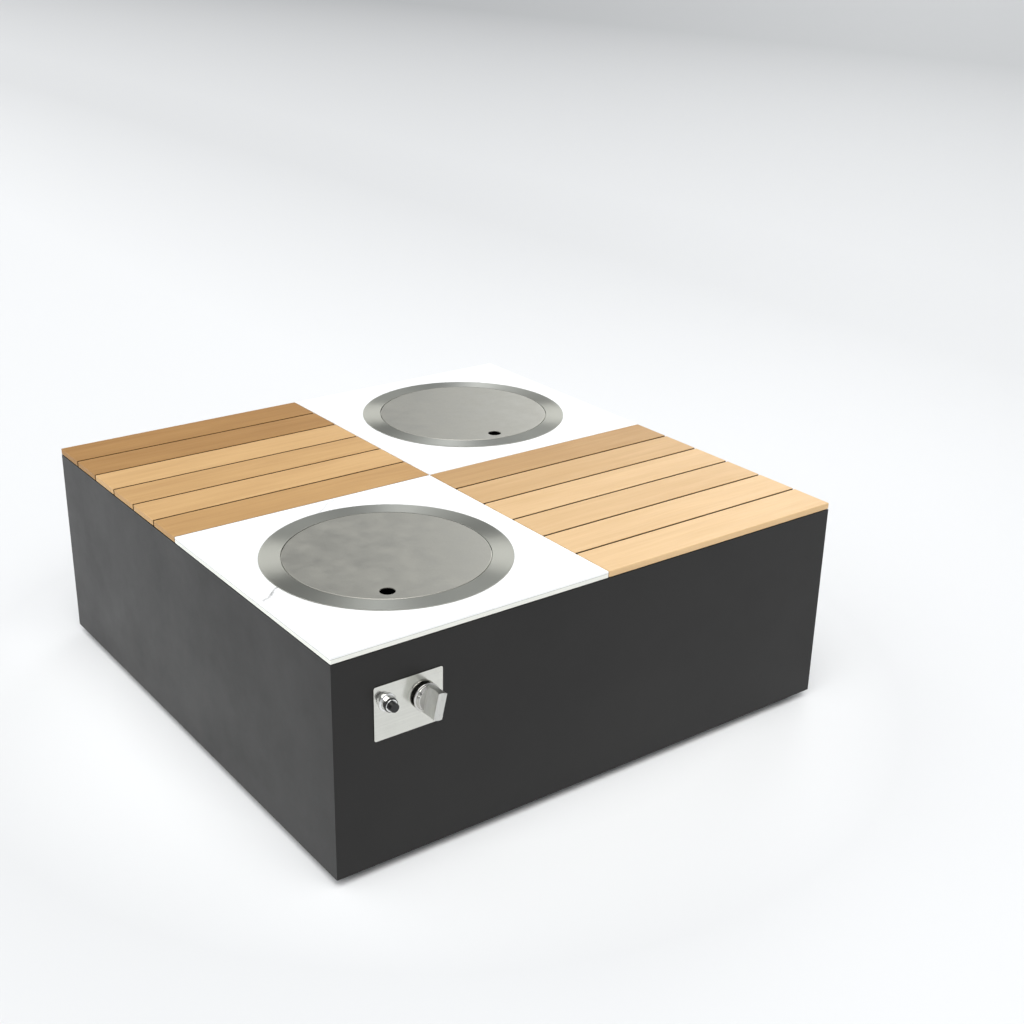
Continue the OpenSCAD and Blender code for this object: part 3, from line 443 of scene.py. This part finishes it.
# Stainless brushed in rings about an upright axis at centre
def ringBrushed(name, centre, tone):
    material, tree, shader = newMaterial(name)
    spot = placed(tree, centre)
    x, y, z = parts(tree, spot)
    squares = math2(tree, "ADD", math2(tree, "MULTIPLY", x, x), math2(tree, "MULTIPLY", y, y))
    out = math2(tree, "SQRT", squares)
    turn = math2(tree, "ABSOLUTE", math2(tree, "ARCTAN2", y, x))
    rings = wire(tree, "CombineXYZ", {
        0: math2(tree, "MULTIPLY", out, steelLook["rings"]), 1: turn,
        2: math2(tree, "MULTIPLY", z, steelLook["layers"]),
    })
    scratch = noise(tree, rings, 1.1, 4.0, 0.7)
    smear = noise(tree, spot, 14.0, 5.0, 0.6)
    colour = blendColour(tree, spread(tree, scratch, 0.3, 0.7, 0.0, 1.0), scaled(tone, 0.95), tone)
    colour = blendColour(tree, spread(tree, smear, 0.4, 0.8, 0.0, 0.12), colour, scaled(tone, 0.80))
    tree.links.new(colour, shader.inputs["Base Color"])
    shader.inputs["Metallic"].default_value = 1.0
    rough = steelLook["ringRough"]
    tree.links.new(spread(tree, scratch, 0.3, 0.7, rough - 0.04, rough + 0.05), shader.inputs["Roughness"])
    shader.inputs["Anisotropic"].default_value = steelLook["ringSpin"]
    way = wire(tree, "Tangent", {}, direction_type="RADIAL", axis="Z")
    tree.links.new(way, shader.inputs["Tangent"])
    relief(tree, shader, scratch, 0.00001, 0.4)
    return material


# Metal brushed in straight lines along X, or speckled where stretch is even
def lineBrushed(name, tone, rough, stretch=(4.0, 700.0, 700.0), spots=0.15, height=0.00003):
    material, tree, shader = newMaterial(name)
    spot = placed(tree)
    scratch = noise(tree, stretched(tree, spot, stretch), 1.2, 4.0, 0.65)
    smear = noise(tree, spot, 30.0, 5.0, 0.6)
    colour = blendColour(tree, spread(tree, scratch, 0.3, 0.7, 0.0, 1.0), scaled(tone, 0.86), tone)
    colour = blendColour(tree, spread(tree, smear, 0.45, 0.8, 0.0, spots), colour, scaled(tone, 0.6))
    tree.links.new(colour, shader.inputs["Base Color"])
    shader.inputs["Metallic"].default_value = 1.0
    rising = spread(tree, smear, 0.3, 0.7, rough * 0.8, rough * 1.25)
    tree.links.new(rising, shader.inputs["Roughness"])
    relief(tree, shader, scratch, height, 0.5)
    return material


# Rubber, plastic, glaze and cast iron: a plain colour with dust, pits and uneven gloss
def moulded(name, dark, light, rough, pit=600.0, height=0.00005, coat=0.0):
    material, tree, shader = newMaterial(name)
    spot = placed(tree)
    dust = noise(tree, spot, 45.0, 6.0, 0.65)
    pits = noise(tree, spot, pit, 3.0, 0.6)
    colour = blendColour(tree, spread(tree, dust, 0.35, 0.75, 0.0, 1.0), dark, light)
    tree.links.new(colour, shader.inputs["Base Color"])
    tree.links.new(spread(tree, pits, 0.3, 0.7, rough - 0.06, rough + 0.08), shader.inputs["Roughness"])
    shader.inputs["Coat Weight"].default_value = coat
    relief(tree, shader, pits, height, 0.7)
    return material


wellFront = (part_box("fire_rim")[0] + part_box("fire_rim")[1]) / 2
wellRear = (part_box("cooler_rim")[0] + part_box("cooler_rim")[1]) / 2
frontAxis = (wellFront.x, wellFront.y, 0)
rearAxis = (wellRear.x, wellRear.y, 0)

powder = powderCoat("powder_coat_charcoal", powderLook)
whiteStone = firedStone("fired_stone_white", stoneLook)
frameSteel = moulded("frame_steel_dark", (0.030, 0.030, 0.030), (0.055, 0.053, 0.050), 0.5, 900.0)
blackRubber = moulded("foot_rubber_black", (0.012, 0.012, 0.012), (0.035, 0.034, 0.033), 0.75, 500.0)
sealRubber = moulded("seal_rubber_black", (0.006, 0.006, 0.006), (0.012, 0.012, 0.012), 0.8, 500.0)
capTones = (0.004, 0.004, 0.004), (0.009, 0.009, 0.009)
blackCap = moulded("button_plastic_black", *capTones, 0.32, 1400.0, 0.00001)
blackBarrel = moulded("barrel_plastic_black", (0.012, 0.012, 0.012), (0.025, 0.025, 0.025), 0.5, 900.0)
castIron = moulded("grate_cast_iron", (0.012, 0.012, 0.012), (0.040, 0.037, 0.034), 0.62, 260.0, 0.00035)
glaze = moulded("electrode_glaze", (0.72, 0.70, 0.65), (0.88, 0.87, 0.84), 0.2, 800.0, 0.00001, 0.6)
leadSleeve = moulded("lead_sleeve_black", (0.015, 0.014, 0.014), (0.035, 0.033, 0.033), 0.6, 900.0)
battenWood = teak("batten_hardwood", (0.42, 0.25, 0.12), (0.27, 0.14, 0.06), (3.1, 0.4, 0.2))
frontRing = ringBrushed("ring_brushed_front", frontAxis, steelLook["rimTone"])
rearRing = ringBrushed("ring_brushed_rear", rearAxis, steelLook["rimTone"])
lidSteel = lineBrushed("lid_steel_satin", steelLook["lidTone"], 0.42, (500.0, 500.0, 500.0), 0.06, 0.00001)
plateSteel = lineBrushed("plate_steel_brushed", (0.74, 0.74, 0.69), 0.16, (4.0, 4.0, 800.0))
skirtChrome = lineBrushed("skirt_chrome", (0.66, 0.65, 0.63), 0.09, (60.0, 60.0, 60.0), 0.10, 0.000005)
gripMetal = lineBrushed("grip_satin_metal", (0.66, 0.66, 0.63), 0.38, (300.0, 300.0, 30.0), 0.2)
collarChrome = lineBrushed("collar_chrome", (0.80, 0.80, 0.79), 0.06, (60.0, 60.0, 60.0), 0.05, 0.000005)
burnerSteel = lineBrushed("burner_steel_warm", (0.50, 0.46, 0.41), 0.32, (300.0, 300.0, 300.0), 0.55, 0.00004)
zincSteel = lineBrushed("fastener_zinc", (0.60, 0.60, 0.59), 0.30, (400.0, 400.0, 400.0), 0.3)
brassTone = lineBrushed("brass_turned", (0.70, 0.50, 0.22), 0.25, (500.0, 500.0, 40.0), 0.35)
brassPipe = lineBrushed("pipe_brass_dull", (0.62, 0.43, 0.19), 0.34, (200.0, 200.0, 200.0), 0.5)
print("materials made")

# Steel body

easeLook = {"shell": 0.0008, "slat": 0.0013, "stone": 0.0010, "plate": 0.0004}

shell = easedCopy("outer_shell", easeLook["shell"], 2, 60)
standFor(shell, powder, "outer_shell")
print("steel body ready")

# Stone tops, each with a round hole for its well

holeBack = 0.0318  # from the rim of the flange in to the edge of the hole in the stone


def stoneTop(node, axis, flangeRadius):
    low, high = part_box(node)
    piece = block(node + "_slab", low, high)
    foot, head = (*axis[:2], low.z - cutPast), (*axis[:2], high.z + cutPast)
    cut(piece, rod("hole", foot, head, flangeRadius - holeBack, 128))
    easeEdges(piece, easeLook["stone"], 2, 60)
    standFor(piece, whiteStone, node)


flangeRadius = (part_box("fire_rim")[1].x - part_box("fire_rim")[0].x) / 2
stoneTop("front_stone_top", frontAxis, flangeRadius)
stoneTop("rear_stone_top", rearAxis, flangeRadius)
print("stone tops ready")

# Slats: each is one plank with its own grain and tone

slatLook = {
    # for each side: the light tone, the dark tone, and one share for each slat from the front to the rear.
    # The right side's tones are lighter and whiter than the left's as painted sheen from the light at the
    # right, and the shares are partly each plank's own tone and partly painted shade that darkens the rear
    # slats
    "left": ((0.600, 0.375, 0.165), (0.440, 0.250, 0.100), (0.92, 1.03, 0.98, 1.04, 0.80, 0.78)),
    "right": ((0.705, 0.480, 0.254), (0.550, 0.345, 0.158), (1.07, 1.05, 0.99, 1.01, 0.92, 0.80)),
    # how far the grain moves on from one slat to the next, and on the left side as a whole
    "step": (1.7, 0.61, 0.37),
    "leftStart": 5.3,
}


def slat(side, number):
    node = "%s_slat_%d" % (side, number)
    low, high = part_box(node)
    piece = block(node + "_plank", low, high)
    easeEdges(piece, easeLook["slat"], 3, 60)
    light, dark, toneAndShadeShares = slatLook[side]
    share = toneAndShadeShares[number - 1]
    # Each share lightens or darkens the plank's tones: partly the plank's own tone, partly painted light at
    # the front and painted shade at the rear
    light = tuple(share * v ** (1 / share) for v in light)
    dark = tuple(share * v ** (1 / share) for v in dark)
    shift = Vector(slatLook["step"]) * number
    shift.x += slatLook["leftStart"] if side == "left" else 0.0
    standFor(piece, teak(node + "_teak", light, dark, shift), node)


for side in ("left", "right"):
    for number in range(1, len(slatLook[side][2]) + 1):
        slat(side, number)
print("slats ready")

# Lids, turned with a rounded rim, each with a finger hole

lidLook = {
    "sheet": 0.0015,
    "rim": 0.007,
    "round": 0.0008,
    "fingerOut": 0.140,
    "fingerRadius": 0.0125,
    "fingerTurn": {"front_lid": -121.9, "rear_lid": -99.1},
}


def lid(node, axis):
    low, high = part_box(node)
    radius = (high.x - low.x) / 2
    top, base = high.z, low.z
    rounding = lidLook["round"]
    outline = [(0, top)]
    outline += corner((radius - rounding, top - rounding), rounding, 90, 0)
    outline += [(radius, base), (radius - lidLook["rim"], base)]
    outline += [(radius - lidLook["rim"], top - lidLook["sheet"]), (0, top - lidLook["sheet"])]
    piece = turned(node + "_turned", axis, outline, closed=False)
    bearing = math.radians(lidLook["fingerTurn"][node])
    x = axis[0] + lidLook["fingerOut"] * math.cos(bearing)
    y = axis[1] + lidLook["fingerOut"] * math.sin(bearing)
    cut(piece, rod("hole", (x, y, base - cutPast), (x, y, top + cutPast), lidLook["fingerRadius"]))
    standFor(piece, lidSteel, node)


lid("front_lid", frontAxis)
lid("rear_lid", rearAxis)
print("lids ready")

# Controls: plate, knob and igniter

knobLook = {
    "lean": 12.8,
    "skirtThick": 0.009,
    "skirtRelief": 0.0006,
    "skirtRound": 0.0008,
    # distance in from the skirt's rim, height above its back
    "skirtStep": ((0.0022, 0.0022), (0.0026, 0.0040)),
    # distance out from the axis, depth below the skirt's front
    "skirtFace": ((0.0185, 0.0008), (0.0165, 0.0002), (0.012, 0.0012), (0.0, 0.0020)),
    "recessRadius": 0.013,
    "recessDepth": 0.0072,
    "gripSink": 0.0035,
    "toolReach": 0.04,
    "scoopForward": 0.001,
    "gripWidth": 0.0150,
    "gripRadius": 0.0218,
    "scoopRadius": 0.030,
    "scoopDepth": 0.0022,
    "round": 0.0012,
    "dots": ((0.0095, 0.0011), (-0.0130, 0.0011)),  # height, radius
    "dotSink": 0.35,
}
igniterLook = {
    "foot": 0.0024,
    "footRound": 0.0008,
    "neck": 0.0112,
    "shoulder": 0.0012,
    "neckTop": 0.0042,  # the lip starts this far below the collar's front, and is full at lipBase
    "lipBase": 0.0030,
    "lip": 0.0098,
    "lipRound": 0.0008,
    "boreRadius": 0.0072,
    "borePlay": 0.0004,
}


def controlPlate():
    plate = easedCopy("control_plate", easeLook["plate"], 2, 60)
    standFor(plate, plateSteel, "control_plate")


def knob():
    low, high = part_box("control_knob")
    middle, radius = (low + high) / 2, (high.x - low.x) / 2
    back, front = high.y, low.y
    thick, rounding = knobLook["skirtThick"], knobLook["skirtRound"]
    recess, deep = knobLook["recessRadius"], knobLook["recessDepth"]
    pivot = (middle.x, back, middle.z)
    outline = [(radius - knobLook["skirtRelief"], 0.0)]
    outline += corner((radius - rounding, rounding), rounding, -60, 90)
    outline += [(radius - inward, height) for inward, height in knobLook["skirtStep"]]
    outline += [(out, thick - down) for out, down in knobLook["skirtFace"]]
    outline += [(0.0, deep), (recess, deep), (recess, 0.0)]
    skirt = turned("knob_skirt", pivot, outline, 96)
    layAlong(skirt, pivot, (0, -1, 0))
    standFor(skirt, skirtChrome, "control_knob")
    root = (middle.x, back - thick + knobLook["gripSink"], middle.z)
    grip = rod("knob_grip", root, (middle.x, front, middle.z), knobLook["gripRadius"], 96)
    half, reach = knobLook["gripWidth"] / 2, knobLook["toolReach"]
    under, over = middle.z - reach, middle.z + reach
    for side in (-1, 1):
        near, far = sorted((middle.x + side * half, middle.x + side * reach))
        cut(grip, block("side", (near, front - cutPast, under), (far, back + cutPast, over)))
        x = middle.x + side * (half + knobLook["scoopRadius"] - knobLook["scoopDepth"])
        y = (front + back - thick) / 2 - knobLook["scoopForward"]
        cut(grip, rod("scoop", (x, y, under), (x, y, over), knobLook["scoopRadius"], 96))
    for height, size in knobLook["dots"]:
        clearSelection()
        place = (middle.x, front - size * knobLook["dotSink"], middle.z + height)
        bpy.ops.mesh.primitive_uv_sphere_add(segments=24, ring_count=12, radius=size, location=place)
        cut(grip, settle(bpy.context.object, "dot"))
    easeEdges(grip, knobLook["round"], 3, 40)
    turn = Matrix.Rotation(math.radians(knobLook["lean"]), 4, "Y")
    grip.data.transform(Matrix.Translation(middle) @ turn @ Matrix.Translation(-middle))
    standFor(grip, gripMetal, "control_knob")


def igniter():
    low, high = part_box("igniter_collar")
    middle, radius = (low + high) / 2, (high.x - low.x) / 2
    long = high.y - low.y
    pivot = (middle.x, high.y, middle.z)
    foot, rounding = igniterLook["foot"], igniterLook["footRound"]
    neck, shoulder = igniterLook["neck"], igniterLook["shoulder"]
    lip, lipRound = igniterLook["lip"], igniterLook["lipRound"]
    bore = (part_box("igniter_button")[1].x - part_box("igniter_button")[0].x) / 2
    bore = min(bore, igniterLook["boreRadius"]) + igniterLook["borePlay"]
    outline = [(neck, 0.0), (radius, 0.0)]
    outline += corner((radius - rounding, foot - rounding), rounding, 0, 90)
    outline += [(neck + shoulder, foot), (neck, foot + shoulder)]
    outline += [(neck, long - igniterLook["neckTop"]), (lip, long - igniterLook["lipBase"])]
    outline += corner((lip - lipRound, long - lipRound), lipRound, 0, 90)
    outline += [(bore, long), (bore, 0.0)]
    collar = turned("igniter_collar_turned", pivot, outline, 96)
    layAlong(collar, pivot, (0, -1, 0))
    standFor(collar, collarChrome, "igniter_collar")


controlPlate()
knob()
igniter()
print("controls ready")

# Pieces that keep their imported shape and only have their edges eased, by this much

easedNodes = {
    "fire_rim": 0.0004,
    "cooler_rim": 0.0004,
    "fire_bowl": 0.0004,
    "cooler_bowl": 0.0004,
    "fire_grate": 0.0012,
    "ring_burner": 0.0,
    "mixing_tube": 0.0003,
    "heat_shield": 0.0002,
    "drain_plug": 0.0008,
    "igniter_button": 0.0016,
    "gas_inlet": 0.0004,
    "front_left_foot": 0.0015,
    "front_right_foot": 0.0015,
    "rear_left_foot": 0.0015,
    "rear_right_foot": 0.0015,
    "electrode": 0.0003,
    "clip_screws": 0.0003,
}

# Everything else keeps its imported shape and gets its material

nodeMaterials = {
    "frame_steel": frameSteel,
    "foot_rubber": blackRubber,
    "fastener_steel": zincSteel,
    "seal_rubber": sealRubber,
    "batten_wood": battenWood,
    "bowl_steel": frontRing,
    "plug_rubber": blackRubber,
    "grate_iron": castIron,
    "burner_steel": burnerSteel,
    "brass": brassTone,
    "pipe_brass": brassPipe,
    "knob_chrome": gripMetal,
    "collar_chrome": collarChrome,
    "igniter_plastic": blackBarrel,
    "button_plastic": blackCap,
    "electrode_ceramic": glaze,
    "lead_rubber": leadSleeve,
}


def materialFor(node):
    return rearRing if node in ("cooler_rim", "cooler_bowl") else nodeMaterials[slotOf(node)]


for node, width in easedNodes.items():
    standFor(easedCopy(node, width, 2, 50), materialFor(node), node)
for node, piece in frame["nodes"].items():
    if not piece.hide_render:
        piece.data.materials.clear()
        piece.data.materials.append(materialFor(node))
print("packed nodes finished")

# Floor, light and camera

studio = {
    "floorSize": 80,
    "floorTone": (0.755, 0.76, 0.765),
    "floorMottle": (0.735, 0.74, 0.745),
    "mottleShare": 0.2,
    "floorRough": 0.6,
    "floorGloss": 0.2,
    # painted shade: the floor darkens out along +X as light falling off; from x, to x, tone there
    "floorPaintedFalloff": ((0.8, 2.6, (0.62, 0.625, 0.63)), (3.5, 11.0, (0.355, 0.36, 0.365))),
    # painted light: a lighter tone beside the table that lifts its shadow, and how far from the middle it
    # starts and ends to fade
    "floorPaintedLight": ((0.91, 0.915, 0.915), 0.60, 0.88),
    "worldTone": (0.96, 0.98, 1.0),
    "worldBase": 0.33,
    # direction, gain and how narrow it is
    "worldGlows": (
        ((0.77, 0.56, 0.30), 4.2, 45.0),
        ((0.9, -0.35, 0.2), 0.40, 5.0),
        ((-0.8, 0.5, 0.2), 1.35, 3.0),
    ),
    "keyPower": 3.5,
    "keyPlace": (2.3, 0.3, 1.9),
    "keySize": 1.6,
    "topStrength": 2.55,
    "topFrom": (-0.25, -0.42, 1.0),
    "topWidth": 60,
}


def addFloor():
    clearSelection()
    bpy.ops.mesh.primitive_plane_add(size=studio["floorSize"], location=(0, 0, 0))
    floor = settle(bpy.context.object, "floor")
    material, tree, shader = newMaterial("floor_paper")
    spot = placed(tree)
    mottle = noise(tree, spot, 1.5, 3.0)
    mottle = math2(tree, "MULTIPLY", mottle, studio["mottleShare"])
    colour = blendColour(tree, mottle, studio["floorTone"], studio["floorMottle"])
    across = parts(tree, spot)[0]
    # Painted shade: the floor is made darker further out along X, as light falling off
    for near, far, tone in studio["floorPaintedFalloff"]:
        colour = blendColour(tree, spread(tree, across, near, far, 0.0, 1.0), colour, tone)
    # Painted light: the floor is made lighter close to the table, lifting the table's shadow
    paintedLightTone, near, far = studio["floorPaintedLight"]
    away = wire(tree, "VectorMath", {0: spot}, 1, operation="LENGTH")
    colour = blendColour(tree, spread(tree, away, near, far, 1.0, 0.0), colour, paintedLightTone)
    tree.links.new(colour, shader.inputs["Base Color"])
    shader.inputs["Roughness"].default_value = studio["floorRough"]
    shader.inputs["Specular IOR Level"].default_value = studio["floorGloss"]
    floor.data.materials.append(material)


def addArea(name, place, size, power, target=(0, 0, 0.2)):
    clearSelection()
    bpy.ops.object.light_add(type="AREA", location=place)
    light = bpy.context.object
    light.name = name
    light.data.shape = "SQUARE"
    light.data.size = size
    light.data.energy = power
    light.rotation_euler = (Vector(target) - Vector(place)).to_track_quat("-Z", "Y").to_euler()


def addWideLight(name, source, width, strength):
    clearSelection()
    bpy.ops.object.light_add(type="SUN", location=source)
    light = bpy.context.object
    light.name = name
    light.data.angle = math.radians(width)
    light.data.energy = strength
    light.rotation_euler = (-Vector(source)).to_track_quat("-Z", "Y").to_euler()


world = bpy.data.worlds.new("studio")
bpy.context.scene.world = world
world.use_nodes = True
air = world.node_tree.nodes["Background"]
air.inputs["Color"].default_value = (*studio["worldTone"], 1)
way = wire(world.node_tree, "TexCoord", {})
brightness = studio["worldBase"]
for direction, gain, power in studio["worldGlows"]:
    source = Vector(direction).normalized()
    facing = wire(world.node_tree, "VectorMath", {0: way, 1: source}, 1, operation="DOT_PRODUCT")
    glow = math2(world.node_tree, "POWER", math2(world.node_tree, "MAXIMUM", facing, 0.0), power)
    glow = math2(world.node_tree, "MULTIPLY", glow, gain)
    brightness = math2(world.node_tree, "ADD", glow, brightness)
world.node_tree.links.new(brightness, air.inputs["Strength"])
addFloor()
addArea("key_light", studio["keyPlace"], studio["keySize"], studio["keyPower"])
addWideLight("top_light", studio["topFrom"], studio["topWidth"], studio["topStrength"])

cameraLook = {
    "place": (-1.3648, -2.0329, 1.3349),
    "bearing": -35.61,
    "height": 22.99,
    "roll": 0.605,
    "lens": 50.95,
    "sensor": 36.0,
    "shiftX": 0.0410,
    "shiftY": 0.0078,
}


def addCamera(look):
    bearing, height, roll = (math.radians(look[k]) for k in ("bearing", "height", "roll"))
    back = Vector((
        math.sin(bearing) * math.cos(height), -math.cos(bearing) * math.cos(height), math.sin(height),
    ))
    right = (-back).cross(Vector((0, 0, 1))).normalized()
    up = right.cross(-back)
    leaned = math.cos(roll) * right + math.sin(roll) * up
    upright = -math.sin(roll) * right + math.cos(roll) * up
    clearSelection()
    bpy.ops.object.camera_add(location=look["place"])
    camera = bpy.context.object
    turn = Matrix((leaned, upright, back)).transposed().to_4x4()
    camera.matrix_world = Matrix.Translation(look["place"]) @ turn
    camera.data.lens = look["lens"]
    camera.data.sensor_width = look["sensor"]
    camera.data.shift_x = look["shiftX"]
    camera.data.shift_y = look["shiftY"]
    bpy.context.scene.camera = camera


addCamera(cameraLook)
bpy.context.scene.view_settings.view_transform = "Standard"
print("floor, light and camera ready")
